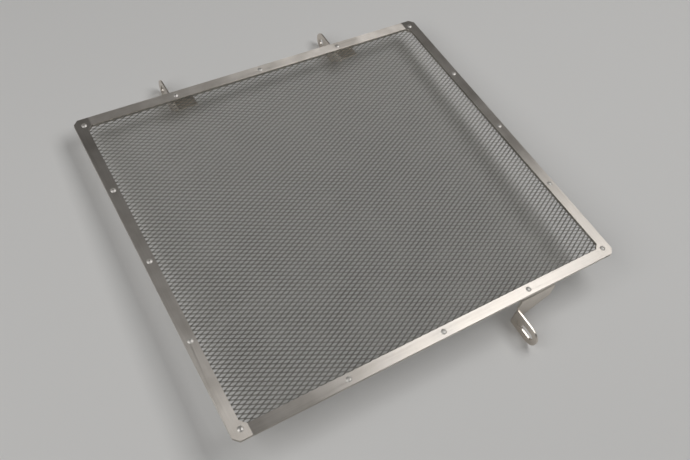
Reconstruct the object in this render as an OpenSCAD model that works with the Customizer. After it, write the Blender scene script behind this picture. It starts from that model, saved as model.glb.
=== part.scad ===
// Motorcycle radiator guard, lying face up on its brackets.
// X runs across the guard, +Y towards the two upper brackets, +Z out of the front face.
// The origin is the middle of the part's footprint, on the level of its lowest edge.

/* [Frames] */
// Width of the guard
guard_w = 374; // [280:2:460]
// Height of the guard, between its lower and upper edges
guard_h = 336; // [250:2:420]
// Width of the border strip of both frames
rim_w = 10; // [9:0.5:16]
// Thickness of the sheet of both frames
frame_sheet = 1; // [0.8:0.1:2]
// Leg of the cut across an outer corner
outer_cut = 4.5; // [2:0.5:7]
// Leg of the cut across an inner corner
inner_cut = 4.5; // [2:0.5:7]

/* [Expanded mesh] */
// Overall thickness of the raised mesh
mesh_t = 1.2; // [0.8:0.1:2]
// Thickness of the wall between the ridges of the mesh
mesh_wall = 0.6; // [0.3:0.1:0.8]
// Long way of one cell, along X
cell_long = 8; // [6:0.5:12]
// Short way of one cell, along Y
cell_short = 4; // [3:0.25:6]
// Width of one strand
strand_w = 1.2; // [0.8:0.1:1.6]
// Cells from one gap to the next along a strand
gap_step = 9; // [8:1:12]
// Cells that one gap spans along a strand
gap_span = 6; // [3:1:6]
// Width of the wall left between a gap and the strand beside it
gap_lip = 0.15; // [0.1:0.05:0.4]
// Distance of the mesh's cut edge from the frames' outer edge
mesh_inset = 1; // [0.5:0.5:2]

/* [Rivets] */
// Diameter of a rivet's body
rivet_d = 2.4; // [2:0.2:3.2]
// Diameter of a rivet's domed head
rivet_head_d = 5; // [4:0.5:6]
// Height of a rivet's domed head
rivet_head_h = 0.9; // [0.6:0.1:1.4]
// Diameter of the end formed behind the sheets
rivet_tail_d = 3.8; // [3.6:0.1:4.2]
// Height of the end formed behind the sheets
rivet_tail_h = 1.8; // [1.2:0.1:2.6]
// Diameter of the pin left inside a rivet
pin_d = 1.4; // [1:0.1:1.6]
// Depth of the pin's broken end below the top of the dome
pin_depth = 0.3; // [0.3:0.1:1]
// Diameter of the pin's head behind the formed end
pin_head_d = 2.2; // [1.8:0.1:2.4]
// Height of the pin's head
pin_head_h = 0.8; // [0.5:0.1:1.2]
// Rivets between the corners on each side
side_rivets = 3; // [3:2:5]
// Distance of an edge rivet from the outer edge
edge_rivet_in = 5; // [4.5:0.5:8]
// Distance of a corner rivet from both outer edges
corner_rivet_in = 8.2; // [7:0.1:10]
// Gap all round a rivet's body in its hole
rivet_gap = 0.05; // [0.02:0.01:0.15]

/* [Upper brackets] */
// Thickness of their sheet
lug_sheet = 1.5; // [1:0.25:2]
// Diameter of the round eye
lug_eye_d = 18; // [14:1:24]
// Bore of the eye
lug_bore = 6.6; // [5.5:0.1:8.5]
// Distance of the bore from the frame's outer edge
lug_reach = 18.5; // [14:0.5:26]
// Width of the foot under the frame
lug_foot_w = 20; // [16:1:26]
// Distance of the foot's inner end from the frame's outer edge
lug_foot_in = 21; // [16:1:26]
// Inner radius of the bend
lug_bend = 0.8; // [0.4:0.1:1]
// Distance of the rivet from the eye plate's outer face
lug_rivet_out = 4.6; // [4.4:0.1:6]
// Distance of the foot's outer end from the frame's outer edge
lug_foot_gap = 0.5; // [0.2:0.1:1]
// Distance from the frame's outer edge to the start of the plate's slanted end
lug_slant_in = 4; // [1:0.5:8]

/* [Lower bracket] */
// Thickness of its sheet
low_sheet = 2; // [1.5:0.25:3]
// Width of the foot and the flange
low_w = 37; // [32:1:50]
// Distance of the foot's inner end from the frame's outer edge
low_foot_in = 11; // [9.5:0.5:20]
// Distance of the flange's outer face from the frame's outer edge
flange_out = 1.7; // [0.5:0.1:4]
// Distance of the rivet from the flange's left edge
low_rivet_in = 10.3; // [8:0.1:16]
// Height of the bracket from the rear frame down
low_h = 35; // [30:0.5:45]
// Height of the tab
tab_h = 20; // [16:0.5:24]
// Distance of the tab's end from the frame's outer edge
tab_reach = 32; // [28:0.5:45]
// Width of the tab's slot
slot_w = 7; // [5.5:0.5:9]
// Length of the tab's slot
slot_l = 15; // [10:0.5:20]
// Metal between the slot and the tab's round end
slot_end = 5; // [4:0.5:8]
// Height of the flange's straight right side
shoulder_h = 16; // [8:0.5:22]
// Width of the flange at its lower edge
toe_w = 13; // [8:0.5:20]
// Inner radius of both bends
low_bend = 1; // [0.5:0.25:2]
// Width of the relief at the end of a bend, also on the upper brackets
relief_w = 1.2; // [0.8:0.1:2]

/* [Hidden] */
$fn = 64;
eps = 0.01;

// Levels, from the lowest edge of the lower bracket up
rear_z = low_h;
mesh_z = rear_z + frame_sheet;
front_z = mesh_z + mesh_t;
face_z = front_z + frame_sheet;

// The footprint reaches from the lower tab to the upper eyes, and the origin is its middle
lug_end = lug_reach + lug_eye_d / 2;
guard_y = (tab_reach - lug_end) / 2;
top_y = guard_y + guard_h / 2;
low_y = guard_y - guard_h / 2;

// The opening of both frames
window_w = guard_w - 2 * rim_w;
window_h = guard_h - 2 * rim_w;

// Lines of strands, and the gaps between them
strand_angle = atan2(cell_short, cell_long);
line_pitch = cell_long * sin(strand_angle);
line_shift = (gap_span % 2) / 2;
line_l = window_w * cos(strand_angle) + window_h * sin(strand_angle);
line_count = ceil((window_w * sin(strand_angle) + window_h * cos(strand_angle)) / line_pitch / 2);
gap_half = (gap_span * line_pitch - strand_w) / 2 - gap_lip;
gap_x = gap_step * cell_long / 2;
gap_y = gap_step * cell_short / 2;
gap_cols = floor(window_w / 2 / gap_x);
gap_rows = floor(window_h / 2 / gap_y);

// Places of the rivets
rivet_x = (guard_w - 2 * corner_rivet_in) / (side_rivets + 1);
rivet_y = (guard_h - 2 * corner_rivet_in) / (side_rivets + 1);
last = (side_rivets - 1) / 2;
upper_y = top_y - edge_rivet_in;
lower_y = low_y + edge_rivet_in;
bracket_x = last * rivet_x;
corner_spots = [for (sx = [-1, 1], sy = [-1, 1])
    [sx * (guard_w / 2 - corner_rivet_in), guard_y + sy * (guard_h / 2 - corner_rivet_in)]];
side_spots = [for (sx = [-1, 1], i = [-last:last])
    [sx * (guard_w / 2 - edge_rivet_in), guard_y + i * rivet_y]];
upper_spots = [for (i = [-last + 1:last - 1]) [i * rivet_x, upper_y]];
lower_spots = [for (i = [-last:last - 1]) [i * rivet_x, lower_y]];
frame_spots = concat(corner_spots, side_spots, upper_spots, lower_spots);
lug_spots = [[-bracket_x, upper_y], [bracket_x, upper_y]];
low_spot = [bracket_x, lower_y];

// What the rivets hold together
frame_grip = 2 * frame_sheet + mesh_t;
lug_grip = frame_grip + lug_sheet;
low_grip = frame_grip + low_sheet;
hole_d = rivet_d + 2 * rivet_gap;
dome_r = (pow(rivet_head_d / 2, 2) + pow(rivet_head_h, 2)) / (2 * rivet_head_h);

// Brackets
lug_corner = lug_sheet + lug_bend;
low_corner = low_sheet + low_bend;
low_x = bracket_x - low_rivet_in;
flange_y = low_y - flange_out;
tab_end = low_y - tab_reach;

steel = "#b4aea6";
strand_grey = "#949490";
bracket_grey = "#8e8982";
rivet_grey = "#c4c0ba";
pin_grey = "#5f5c58";

// A plate with its four corners cut off
module cut_plate(w, h, cut) {
    x = w / 2;
    y = h / 2;
    polygon([[cut - x, -y], [x - cut, -y], [x, cut - y], [x, y - cut],
             [x - cut, y], [cut - x, y], [-x, y - cut], [-x, cut - y]]);
}

// Holes for every rivet, from the level z up through t
module rivet_holes(z, t) {
    for (p = concat(frame_spots, lug_spots, [low_spot]))
        translate([p.x, p.y, z - eps])
            cylinder(d = hole_d, h = t + 2 * eps);
}

// A flat ring cut from sheet, with its back on the level z
module frame_ring(z) {
    color(steel)
        difference() {
            translate([0, guard_y, z])
                linear_extrude(frame_sheet)
                    difference() {
                        cut_plate(guard_w, guard_h, outer_cut);
                        cut_plate(window_w, window_h, inner_cut);
                    }
            rivet_holes(z, frame_sheet);
        }
}

module front_frame() {
    frame_ring(front_z);
}

module rear_frame() {
    frame_ring(rear_z);
}

// Every gap of the mesh: a diamond whose sides run along the strands
module mesh_gaps() {
    half_x = gap_half / sin(strand_angle);
    half_y = gap_half / cos(strand_angle);
    intersection() {
        cut_plate(window_w - 2 * strand_w, window_h - 2 * strand_w, inner_cut);
        for (i = [-gap_cols:gap_cols], j = [-gap_rows:gap_rows])
            if ((i + j) % 2 == 0)
                translate([i * gap_x, j * gap_y])
                    polygon([[-half_x, 0], [0, -half_y], [half_x, 0], [0, half_y]]);
    }
}

// True where a strand line at this place, counted in line pitches, keeps clear of every gap
function is_whole(place) =
    let (off = abs(place % gap_step))
    min(off, gap_step - off) > gap_span / 2;

// Strands of one direction, from edge to edge of the window
module strand_lines(angle, whole_only) {
    intersection() {
        cut_plate(window_w, window_h, inner_cut);
        rotate(angle)
            for (i = [-line_count:line_count])
                if (is_whole(i + line_shift) || !whole_only)
                    translate([-line_l / 2, (i + line_shift) * line_pitch - strand_w / 2])
                        square([line_l, strand_w]);
    }
}

// Raised expanded mesh: one wall with gaps, flattened between the frames. The
// strands of one direction stand out in front, and behind those of the other
// direction that pass between the gaps
module mesh_panel() {
    ridge_t = (mesh_t - mesh_wall) / 2;
    color(strand_grey)
        difference() {
            translate([0, guard_y, mesh_z]) {
                linear_extrude(mesh_t)
                    difference() {
                        cut_plate(guard_w - 2 * mesh_inset, guard_h - 2 * mesh_inset, outer_cut);
                        cut_plate(window_w, window_h, inner_cut);
                    }
                translate([0, 0, ridge_t])
                    linear_extrude(mesh_wall)
                        difference() {
                            cut_plate(window_w + rim_w, window_h + rim_w, inner_cut);
                            mesh_gaps();
                        }
                translate([0, 0, mesh_t - ridge_t])
                    linear_extrude(ridge_t)
                        difference() {
                            strand_lines(strand_angle, false);
                            mesh_gaps();
                        }
                linear_extrude(ridge_t)
                    strand_lines(-strand_angle, true);
            }
            rivet_holes(mesh_z, mesh_t);
        }
}

// Section of a sheet bent through a right angle: one leg along +X under the
// level 0, and the other down from its end
module bent_section(sheet, bend, leg_x, leg_y) {
    r = sheet + bend;
    translate([r, -sheet])
        square([leg_x - r, sheet]);
    translate([0, -leg_y])
        square([sheet, leg_y - r]);
    intersection() {
        translate([0, -r])
            square(r);
        translate([r, -r])
            difference() {
                circle(r);
                circle(bend);
            }
    }
}

// Outline of the eye plate seen from the side, measured from the frame's outer
// edge and from the level of the foot
module eye_plate_outline() {
    foot_low = -lug_corner - lug_sheet;
    difference() {
        union() {
            polygon([[-lug_foot_in, -lug_corner], [relief_w - lug_foot_gap, -lug_corner],
                     [relief_w - lug_foot_gap, 0], [lug_reach, 0], [lug_reach, -lug_eye_d],
                     [-lug_slant_in, -lug_eye_d], [-lug_foot_in, foot_low]]);
            translate([lug_reach, -lug_eye_d / 2])
                circle(d = lug_eye_d);
        }
        translate([lug_reach, -lug_eye_d / 2])
            circle(d = lug_bore);
    }
}

// A bent plate: a foot riveted under the rear frame, and an eye plate bent down
// from the foot's left side that reaches past the frame
module upper_bracket(spot) {
    color(bracket_grey)
        difference() {
            translate([spot.x - lug_rivet_out, top_y, rear_z]) {
                translate([0, -lug_foot_gap, 0])
                    rotate([90, 0, 0])
                        linear_extrude(lug_foot_in - lug_foot_gap)
                            bent_section(lug_sheet, lug_bend, lug_foot_w, lug_corner + lug_sheet);
                rotate([90, 0, 90])
                    linear_extrude(lug_sheet)
                        eye_plate_outline();
            }
            rivet_holes(rear_z - lug_sheet, lug_sheet);
        }
}

module upper_bracket_left() {
    upper_bracket(lug_spots[0]);
}

module upper_bracket_right() {
    upper_bracket(lug_spots[1]);
}

// Outline of the lower bracket seen from the front: a straight right side, a
// taper to the toe, and on the left the relief over the tab's bend
module flange_outline() {
    polygon([[0, low_h], [low_w, low_h], [low_w, low_h - shoulder_h], [toe_w, 0],
             [low_corner, 0], [low_corner, tab_h + relief_w], [0, tab_h + relief_w]]);
}

// Outline of the tab seen from the side, with a round end and a slot
module tab_outline() {
    slot_r = slot_w / 2;
    difference() {
        union() {
            translate([tab_end + tab_h / 2, 0])
                square([flange_y + low_sheet - tab_end - tab_h / 2, tab_h]);
            translate([tab_end + tab_h / 2, tab_h / 2])
                circle(d = tab_h);
        }
        translate([tab_end + slot_end + slot_r, tab_h / 2])
            circle(slot_r);
        translate([tab_end + slot_end + slot_l - slot_r, tab_h / 2])
            circle(slot_r);
        translate([tab_end + slot_end + slot_r, tab_h / 2 - slot_r])
            square([slot_l - slot_w, slot_w]);
    }
}

// One bent plate: a foot riveted under the rear frame, a flange bent down from
// it along the frame's edge, and a slotted tab bent out from the flange
module lower_bracket() {
    foot_l = low_foot_in + flange_out;
    tab_root = low_corner + low_sheet;
    color(bracket_grey)
        difference() {
            union() {
                intersection() {
                    translate([low_x, flange_y, rear_z])
                        rotate([90, 0, 90])
                            linear_extrude(low_w)
                                bent_section(low_sheet, low_bend, foot_l, low_h);
                    translate([low_x, flange_y + foot_l, 0])
                        rotate([90, 0, 0])
                            linear_extrude(foot_l)
                                flange_outline();
                }
                intersection() {
                    translate([low_x, flange_y + low_sheet, 0])
                        linear_extrude(tab_h)
                            bent_section(low_sheet, low_bend, tab_root, low_sheet + tab_reach - flange_out);
                    translate([low_x, 0, 0])
                        rotate([90, 0, 90])
                            linear_extrude(tab_root)
                                tab_outline();
                }
            }
            rivet_holes(rear_z - low_sheet, low_sheet);
        }
}

// Hollow rivet set from the front, with its head on the front frame and its end
// formed behind the last sheet
module rivet(grip) {
    tail_z = -grip - rivet_tail_h;
    bore_r = pin_d / 2 + rivet_gap;
    rotate_extrude()
        difference() {
            union() {
                intersection() {
                    translate([0, rivet_head_h - dome_r])
                        circle(dome_r);
                    square([rivet_head_d / 2, rivet_head_h]);
                }
                translate([0, -grip])
                    square([rivet_d / 2, grip]);
                polygon([[0, -grip], [rivet_tail_d / 2, -grip], [rivet_tail_d / 2, -grip - rivet_tail_h / 2],
                         [rivet_d / 2, tail_z], [0, tail_z]]);
            }
            translate([-bore_r, tail_z - eps])
                square([2 * bore_r, rivet_head_h - tail_z + 2 * eps]);
        }
}

// What is left of the pulling pin in a set rivet: its broken end under the
// dome's top, and its head against the formed end
module rivet_pin(grip) {
    low_end = -grip - rivet_tail_h;
    translate([0, 0, low_end])
        cylinder(d = pin_d, h = rivet_head_h - pin_depth - low_end);
    translate([0, 0, low_end - pin_head_h])
        cylinder(d = pin_head_d, h = pin_head_h);
}

module frame_rivets() {
    color(rivet_grey)
        for (p = frame_spots)
            translate([p.x, p.y, face_z])
                rivet(frame_grip);
}

module frame_rivet_pins() {
    color(pin_grey)
        for (p = frame_spots)
            translate([p.x, p.y, face_z])
                rivet_pin(frame_grip);
}

module bracket_rivets() {
    color(rivet_grey) {
        for (p = lug_spots)
            translate([p.x, p.y, face_z])
                rivet(lug_grip);
        translate([low_spot.x, low_spot.y, face_z])
            rivet(low_grip);
    }
}

module bracket_rivet_pins() {
    color(pin_grey) {
        for (p = lug_spots)
            translate([p.x, p.y, face_z])
                rivet_pin(lug_grip);
        translate([low_spot.x, low_spot.y, face_z])
            rivet_pin(low_grip);
    }
}

front_frame();
mesh_panel();
rear_frame();
upper_bracket_left();
upper_bracket_right();
lower_bracket();
frame_rivets();
frame_rivet_pins();
bracket_rivets();
bracket_rivet_pins();
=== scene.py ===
from math import atan2, cos, radians, sin

import bmesh
import bpy
from mathutils import Euler, Matrix, Vector


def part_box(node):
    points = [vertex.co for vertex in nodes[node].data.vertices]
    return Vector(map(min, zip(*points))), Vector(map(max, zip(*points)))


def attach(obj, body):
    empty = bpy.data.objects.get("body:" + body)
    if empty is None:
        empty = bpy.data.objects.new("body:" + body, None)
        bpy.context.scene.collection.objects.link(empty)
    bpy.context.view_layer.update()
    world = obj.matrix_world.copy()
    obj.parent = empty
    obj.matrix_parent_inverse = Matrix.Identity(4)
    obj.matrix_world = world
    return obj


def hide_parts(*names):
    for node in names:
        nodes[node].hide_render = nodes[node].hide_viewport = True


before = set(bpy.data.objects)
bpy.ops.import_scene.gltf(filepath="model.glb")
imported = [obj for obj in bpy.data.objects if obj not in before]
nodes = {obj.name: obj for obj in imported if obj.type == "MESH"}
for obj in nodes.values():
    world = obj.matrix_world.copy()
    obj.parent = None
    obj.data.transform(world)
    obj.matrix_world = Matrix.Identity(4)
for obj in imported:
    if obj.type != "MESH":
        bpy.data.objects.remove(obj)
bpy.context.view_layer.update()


# Front and rear frame: two flat rings cut from 1 mm stainless sheet and brushed
# one rim after the other, so that the lines turn at the corners. Their edges
# are deburred.
frame_edge = 0.00012
sharp_angle = radians(40)
rim_wide = 0.01
corner_cut = 0.0045
frame_low, frame_high = (Vector(corner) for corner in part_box("front_frame"))
side_x = frame_high.x - rim_wide - corner_cut

# The lines are coarser than the real brushing, so that they show. The noises
# stay mostly between noise_low and noise_high.
line_long = 0.02
line_apart = 0.0004
line_depth = 0.00004
line_strength = 0.15
mark_wide = 0.025
mark_share = 0.45
gloss_change = 0.05
noise_low = 0.35
noise_high = 0.65


def linear(hex_colour):
    """The linear colour of an sRGB hex value"""
    channels = [int(hex_colour[i:i + 2], 16) / 255 for i in (1, 3, 5)]
    return [c / 12.92 if c <= 0.04045 else ((c + 0.055) / 1.055) ** 2.4 for c in channels] + [1.0]


def add_node(tree, kind, inputs=None, links=None, **settings):
    """A shader node with its settings, input values and links"""
    node = tree.nodes.new(kind)
    for name, value in settings.items():
        setattr(node, name, value)
    sockets = {s.name: s for s in node.inputs if s.enabled} | dict(enumerate(node.inputs))
    for socket, value in (inputs or {}).items():
        sockets[socket].default_value = value
    for socket, source in (links or {}).items():
        tree.links.new(source, sockets[socket])
    return node


def new_material(name):
    """A material with an empty node tree"""
    material = bpy.data.materials.new(name)
    material.use_nodes = True
    material.node_tree.nodes.clear()
    return material


def brushed_steel(name, bright, dull, roughness, brushing=0.88, turn_x=1.0):
    """Stainless steel with fine lines along X, or along Y beyond turn_x, and cloudy marks"""
    material = new_material(name)
    tree = material.node_tree
    place = add_node(tree, "ShaderNodeTexCoord").outputs["Object"]
    across = add_node(tree, "ShaderNodeSeparateXYZ", links={"Vector": place})
    off_middle = add_node(tree, "ShaderNodeMath", links={0: across.outputs["X"]},
                          operation="ABSOLUTE")
    on_side = add_node(tree, "ShaderNodeMath", {1: turn_x}, {0: off_middle.outputs[0]},
                       operation="GREATER_THAN")

    # Brushing: a noise drawn out into lines
    along_x = add_node(tree, "ShaderNodeMapping",
                       {"Scale": (1 / line_long, 1 / line_apart, 1 / line_apart)},
                       {"Vector": place})
    along_y = add_node(tree, "ShaderNodeMapping",
                       {"Scale": (1 / line_apart, 1 / line_long, 1 / line_apart)},
                       {"Vector": place})
    turned = add_node(tree, "ShaderNodeMix", data_type="VECTOR",
                      links={"Factor": on_side.outputs[0], "A": along_x.outputs["Vector"],
                             "B": along_y.outputs["Vector"]})
    lines = add_node(tree, "ShaderNodeTexNoise", {"Scale": 1.0, "Detail": 3.0},
                     {"Vector": turned.outputs["Result"]})

    # Handling marks: soft clouds that are a little duller
    marks = add_node(tree, "ShaderNodeTexNoise", {"Scale": 1 / mark_wide, "Detail": 5.0},
                     {"Vector": place})
    dulled = add_node(tree, "ShaderNodeMapRange", {"From Min": noise_low, "From Max": noise_high},
                      {"Value": marks.outputs["Fac"]})
    worn = add_node(tree, "ShaderNodeMix", {"Factor": mark_share},
                    {"A": lines.outputs["Fac"], "B": dulled.outputs["Result"]})
    tint = add_node(tree, "ShaderNodeMix", {"A": linear(dull), "B": linear(bright)},
                    {"Factor": worn.outputs["Result"]}, data_type="RGBA")
    gloss = add_node(tree, "ShaderNodeMapRange",
                     {"To Min": roughness - gloss_change, "To Max": roughness + gloss_change},
                     {"Value": dulled.outputs["Result"]})
    relief = add_node(tree, "ShaderNodeBump", {"Strength": line_strength, "Distance": line_depth},
                      {"Height": lines.outputs["Fac"]})

    # A highlight spreads across the lines
    spread = add_node(tree, "ShaderNodeMix", {"A": (0, 1, 0), "B": (1, 0, 0)},
                      {"Factor": on_side.outputs[0]}, data_type="VECTOR")
    metal = add_node(tree, "ShaderNodeBsdfPrincipled", {"Metallic": 1.0, "Anisotropic": brushing},
                     {"Base Color": tint.outputs["Result"], "Roughness": gloss.outputs["Result"],
                      "Normal": relief.outputs["Normal"], "Tangent": spread.outputs["Result"]})
    add_node(tree, "ShaderNodeOutputMaterial", links={"Surface": metal.outputs["BSDF"]})
    return material


def dress(piece, material):
    """Gives the whole piece one material"""
    piece.data.materials.clear()
    piece.data.materials.append(material)


def round_edges(piece, width):
    """Joins a CAD node's loose triangles and rounds its sharp edges"""
    piece.modifiers.new("join", "WELD").merge_threshold = width / 20
    bevel = piece.modifiers.new("edges", "BEVEL")
    bevel.width = width
    bevel.segments = 2
    bevel.limit_method = "ANGLE"
    bevel.angle_limit = sharp_angle


# Brushed stainless steel: satin and slightly warm, with streaks along each rim
# and a tone that changes with the rim's direction to the light
frame_metal = brushed_steel("brushed_stainless_frames", "#e6e0d9", "#bbb4ab", 0.41, turn_x=side_x)
for name in ("rear_frame", "front_frame"):
    dress(nodes[name], frame_metal)
    round_edges(nodes[name], frame_edge)


# Expanded mesh: one stainless sheet, slit in rows and pulled open. Each ribbon
# between two rows of slits rises towards -Y and zigzags between the bonds that
# join it to its neighbours. The border is pressed flat between the frames.
cell_long = 0.008
cell_short = 0.004
strand_wide = 0.0011
strand_thick = 0.00029
strand_lean = radians(-25)
bond_long = 0.0014
cells_across = 45
cells_up = 79
cell_in_border = 0.0005
same_spot = strand_thick / 100
mesh_low, mesh_high = (Vector(corner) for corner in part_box("mesh_panel"))
mesh_middle = (mesh_low + mesh_high) / 2
mesh_half = (mesh_high - mesh_low) / 2
window_half = (frame_high - frame_low) / 2 - Vector((rim_wide, rim_wide, 0))


def add_ribbon(bm, bond_y, side):
    """Extrudes one period of a ribbon along X from its first bond, on that side of the bond"""
    lean_y = strand_wide / 2 * cos(strand_lean)
    lean_z = strand_wide / 2 * sin(strand_lean)
    place = (Matrix.Translation((-bond_long / 2, bond_y + side * lean_y, side * lean_z))
             @ Matrix.Rotation(strand_lean, 4, "X")
             @ Matrix.Diagonal((1, strand_wide, strand_thick, 1))
             @ Matrix.Rotation(radians(90), 4, "Y"))
    section = bmesh.ops.create_grid(bm, x_segments=1, y_segments=1, size=0.5, matrix=place)["verts"]
    face = section[0].link_faces[0]
    along = Vector((bond_long, 0, 0))
    climb = Vector((cell_long / 2 - bond_long, side * (cell_short / 2 - 2 * lean_y),
                    -side * 2 * lean_z))
    descend = Vector((climb.x, -climb.y, -climb.z))
    for step in (along, climb, along, descend):
        moved = bmesh.ops.extrude_face_region(bm, geom=[face])["geom"]
        bmesh.ops.translate(bm, verts=[g for g in moved if isinstance(g, bmesh.types.BMVert)],
                            vec=step)
        face = next(g for g in moved if isinstance(g, bmesh.types.BMFace))


def is_inner(face):
    """True for a cell's open ends and for the walls where two ribbons are one metal"""
    across = [v.co.x for v in face.verts]
    rows = [v.co.y / cell_short * 2 for v in face.verts]
    at_bond = all(abs(row - round(row)) * cell_short / 2 < strand_wide / 4 for row in rows)
    return at_bond or max(across) - min(across) < same_spot


def add_plate(bm, half):
    """A flat face at the mesh's upper side, with its four corners cut off"""
    flat = (Matrix.Translation((mesh_middle.x, mesh_middle.y, mesh_high.z))
            @ Matrix.Diagonal((half.x, half.y, 1, 1)))
    corners = bmesh.ops.create_grid(bm, x_segments=1, y_segments=1, size=1, matrix=flat)["verts"]
    bmesh.ops.bevel(bm, geom=corners, offset=corner_cut, offset_type="OFFSET", affect="VERTICES",
                    segments=1, profile=0.5, material=-1)


# One cell, of two half ribbons, repeated along the rows and then row by row
bm = bmesh.new()
add_ribbon(bm, 0, 1)
add_ribbon(bm, cell_short, -1)
bmesh.ops.delete(bm, geom=[f for f in bm.faces if is_inner(f)], context="FACES_ONLY")
bmesh.ops.remove_doubles(bm, verts=bm.verts, dist=same_spot)
bmesh.ops.recalc_face_normals(bm, faces=bm.faces)
first_cell = mesh_middle - Vector((cells_across * cell_long, cells_up * cell_short, 0)) / 2
bmesh.ops.translate(bm, verts=bm.verts, vec=first_cell)
cell_mesh = bpy.data.meshes.new("mesh_cell")
bm.to_mesh(cell_mesh)
bm.free()
cell = bpy.data.objects.new("mesh_cell", cell_mesh)
bpy.context.scene.collection.objects.link(cell)
for count, step in ((cells_across, (cell_long, 0, 0)), (cells_up, (0, cell_short, 0))):
    row = cell.modifiers.new("row", "ARRAY")
    row.count = count
    row.use_relative_offset = False
    row.use_constant_offset = True
    row.constant_offset_displace = step
    row.use_merge_vertices = True
    row.merge_threshold = same_spot
bpy.context.view_layer.update()
all_cells = bpy.data.meshes.new_from_object(
    cell.evaluated_get(bpy.context.evaluated_depsgraph_get()))
bpy.data.objects.remove(cell)

# The rows are cut off in the border, and every cut strand is closed
bm = bmesh.new()
bm.from_mesh(all_cells)
for side in (-1, 1):
    bmesh.ops.bisect_plane(bm, geom=list(bm.verts) + list(bm.edges) + list(bm.faces),
                           dist=same_spot, plane_co=(side * (window_half.x + cell_in_border), 0, 0),
                           plane_no=(side, 0, 0), clear_outer=True)
bmesh.ops.holes_fill(bm, edges=[e for e in bm.edges if e.is_boundary], sides=0)
bmesh.ops.recalc_face_normals(bm, faces=bm.faces)
mesh_data = bpy.data.meshes.new("expanded_mesh")
bm.to_mesh(mesh_data)
bm.free()

# The flat border
bm = bmesh.new()
add_plate(bm, mesh_half)
add_plate(bm, window_half)
bmesh.ops.delete(bm, geom=list(bm.faces), context="FACES_ONLY")
border = bmesh.ops.bridge_loops(bm, edges=list(bm.edges))["faces"]
bmesh.ops.solidify(bm, geom=border, thickness=mesh_high.z - mesh_low.z)
bmesh.ops.recalc_face_normals(bm, faces=bm.faces)
bm.from_mesh(mesh_data)
bm.to_mesh(mesh_data)
bm.free()
expanded_mesh = bpy.data.objects.new("expanded_mesh", mesh_data)
bpy.context.scene.collection.objects.link(expanded_mesh)

# Stainless steel as the expanding tool leaves it: greyer and darker than the
# frames, with a glint along each strand
mesh_metal = brushed_steel("expanded_stainless_mesh", "#b8b6b0", "#a2a09a", 0.33)
dress(expanded_mesh, mesh_metal)
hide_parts("mesh_panel")
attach(expanded_mesh, "root")


# Brackets: bent stainless plates, riveted under the rear frame. The upper two
# end in an eye, and the lower one in a flange with a slotted tab.
bracket_edge = 0.0002

# Stainless plate, cut and bent but not brushed: smooth and warm, with a broad
# even highlight on each flat
bracket_metal = brushed_steel("bent_stainless_brackets", "#e8e1d8", "#cfc7bd", 0.32, brushing=0.0)
for name in ("upper_bracket_left", "upper_bracket_right", "lower_bracket"):
    dress(nodes[name], bracket_metal)
    round_edges(nodes[name], bracket_edge)


# Rivets: hollow stainless blind rivets set from the front, with bright domed
# heads, and the dark broken stub of the pulling pin deep in each.

# Formed stainless wire: a pale dome with one soft highlight
rivet_metal = brushed_steel("rivet_stainless", "#e2dfda", "#cfcbc5", 0.5, brushing=0.0)
# Broken steel pin: duller and darker than the head around it
pin_metal = brushed_steel("rivet_pin_steel", "#c4c0ba", "#aaa6a0", 0.4, brushing=0.0)
for name in ("frame_rivets", "bracket_rivets"):
    dress(nodes[name], rivet_metal)
for name in ("frame_rivet_pins", "bracket_rivet_pins"):
    dress(nodes[name], pin_metal)


# Floor, light and camera. The guard lies on its lower bracket and both eyes, so
# the floor leans a little against the guard's own axes. Far off it curves up
# into a round wall.
floor_reach = 2.2
floor_bend = 0.8
floor_lean = radians(2.75)
bend_steps = 8
round_steps = 48
flange_in = 0.0003
heel = Vector((0, frame_low.y + flange_in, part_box("lower_bracket")[0][2]))

bm = bmesh.new()
centre = bm.verts.new((0, 0, 0))
outer = bmesh.ops.extrude_vert_indiv(bm, verts=[centre])["verts"]
bmesh.ops.translate(bm, verts=outer, vec=(floor_reach, 0, 0))
bmesh.ops.spin(bm, geom=outer, cent=(floor_reach, 0, floor_bend), axis=(0, -1, 0),
               angle=radians(90), steps=bend_steps)
bmesh.ops.spin(bm, geom=list(bm.verts) + list(bm.edges), cent=(0, 0, 0), axis=(0, 0, 1),
               angle=radians(360), steps=round_steps, use_merge=True)
bmesh.ops.remove_doubles(bm, verts=bm.verts, dist=0.0001)
bmesh.ops.recalc_face_normals(bm, faces=bm.faces)
lean = Matrix.Translation(heel) @ Matrix.Rotation(floor_lean, 4, "X")
bmesh.ops.transform(bm, matrix=lean, verts=bm.verts)
for face in bm.faces:
    face.smooth = True
floor_mesh = bpy.data.meshes.new("floor")
bm.to_mesh(floor_mesh)
bm.free()
floor = bpy.data.objects.new("floor", floor_mesh)
bpy.context.scene.collection.objects.link(floor)

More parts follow.
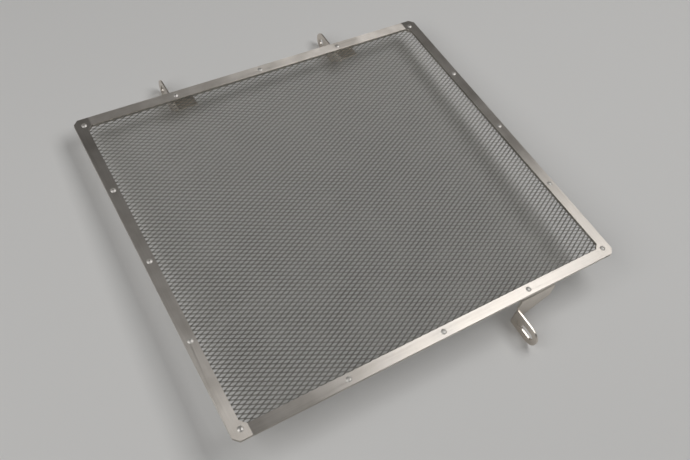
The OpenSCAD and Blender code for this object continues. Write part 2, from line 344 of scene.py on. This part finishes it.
# Matt paint near the guard: one even pale grey that takes soft shadows. Farther
# off, the eye and the metal see its plain tone without the lamps' falloff.
fade_start = 0.8
fade_end = 1.8
floor_paint = new_material("pale_floor")
tree = floor_paint.node_tree
place = add_node(tree, "ShaderNodeTexCoord").outputs["Object"]
away = add_node(tree, "ShaderNodeVectorMath", links={0: place}, operation="LENGTH")
far = add_node(tree, "ShaderNodeMapRange", {"From Min": fade_start, "From Max": fade_end},
               {"Value": away.outputs["Value"]}, interpolation_type="SMOOTHSTEP")
rays = add_node(tree, "ShaderNodeLightPath").outputs
mirrored = add_node(tree, "ShaderNodeMath", operation="MAXIMUM",
                    links={0: rays["Is Glossy Ray"], 1: rays["Is Transmission Ray"]})
seen = add_node(tree, "ShaderNodeMath", operation="MAXIMUM",
                links={0: rays["Is Camera Ray"], 1: mirrored.outputs[0]})
share = add_node(tree, "ShaderNodeMath", operation="MULTIPLY",
                 links={0: far.outputs["Result"], 1: seen.outputs[0]})
matt = add_node(tree, "ShaderNodeBsdfPrincipled",
                {"Base Color": linear("#e2e1df"), "Roughness": 0.8})
plain = add_node(tree, "ShaderNodeEmission", {"Color": linear("#b8b7b5"), "Strength": 1.0})
both = add_node(tree, "ShaderNodeMixShader", links={0: share.outputs[0], 1: matt.outputs["BSDF"],
                                                    2: plain.outputs["Emission"]})
add_node(tree, "ShaderNodeOutputMaterial", links={"Surface": both.outputs["Shader"]})
dress(floor, floor_paint)

world = bpy.data.worlds.new("studio")
bpy.context.scene.world = world
world.use_nodes = True
world.node_tree.nodes.clear()
sky = add_node(world.node_tree, "ShaderNodeBackground",
               {"Color": linear("#c8c8c8"), "Strength": 0.18})
add_node(world.node_tree, "ShaderNodeOutputWorld", links={"Surface": sky.outputs["Background"]})


def add_softbox(name, place, width, height, power):
    """An area lamp, level along Y, that faces the guard's middle line"""
    lamp = bpy.data.lights.new(name, "AREA")
    lamp.shape = "RECTANGLE"
    lamp.size = height
    lamp.size_y = width
    lamp.energy = power
    box = bpy.data.objects.new(name, lamp)
    box.location = place
    box.rotation_euler = Euler((0, atan2(place[0], place[2]), 0))
    bpy.context.scene.collection.objects.link(box)


add_softbox("softbox_right", (0.89, -0.2, 1.49), width=1.4, height=0.82, power=11.6)
add_softbox("softbox_left", (-1.3, -0.2, 1.2), width=1.5, height=1.0, power=10)
add_softbox("softbox_back", (0.15, 0.8, 1.5), width=0.8, height=0.6, power=0.6)

lens = bpy.data.cameras.new("camera")
lens.lens = 39.57
lens.sensor_width = 36
camera = bpy.data.objects.new("camera", lens)
camera.location = (-0.2707, -0.3311, 0.5702)
camera.rotation_euler = Euler((radians(35.12), radians(-7.16), radians(-30.47)))
bpy.context.scene.collection.objects.link(camera)
bpy.context.scene.camera = camera
bpy.context.scene.view_settings.view_transform = "Standard"
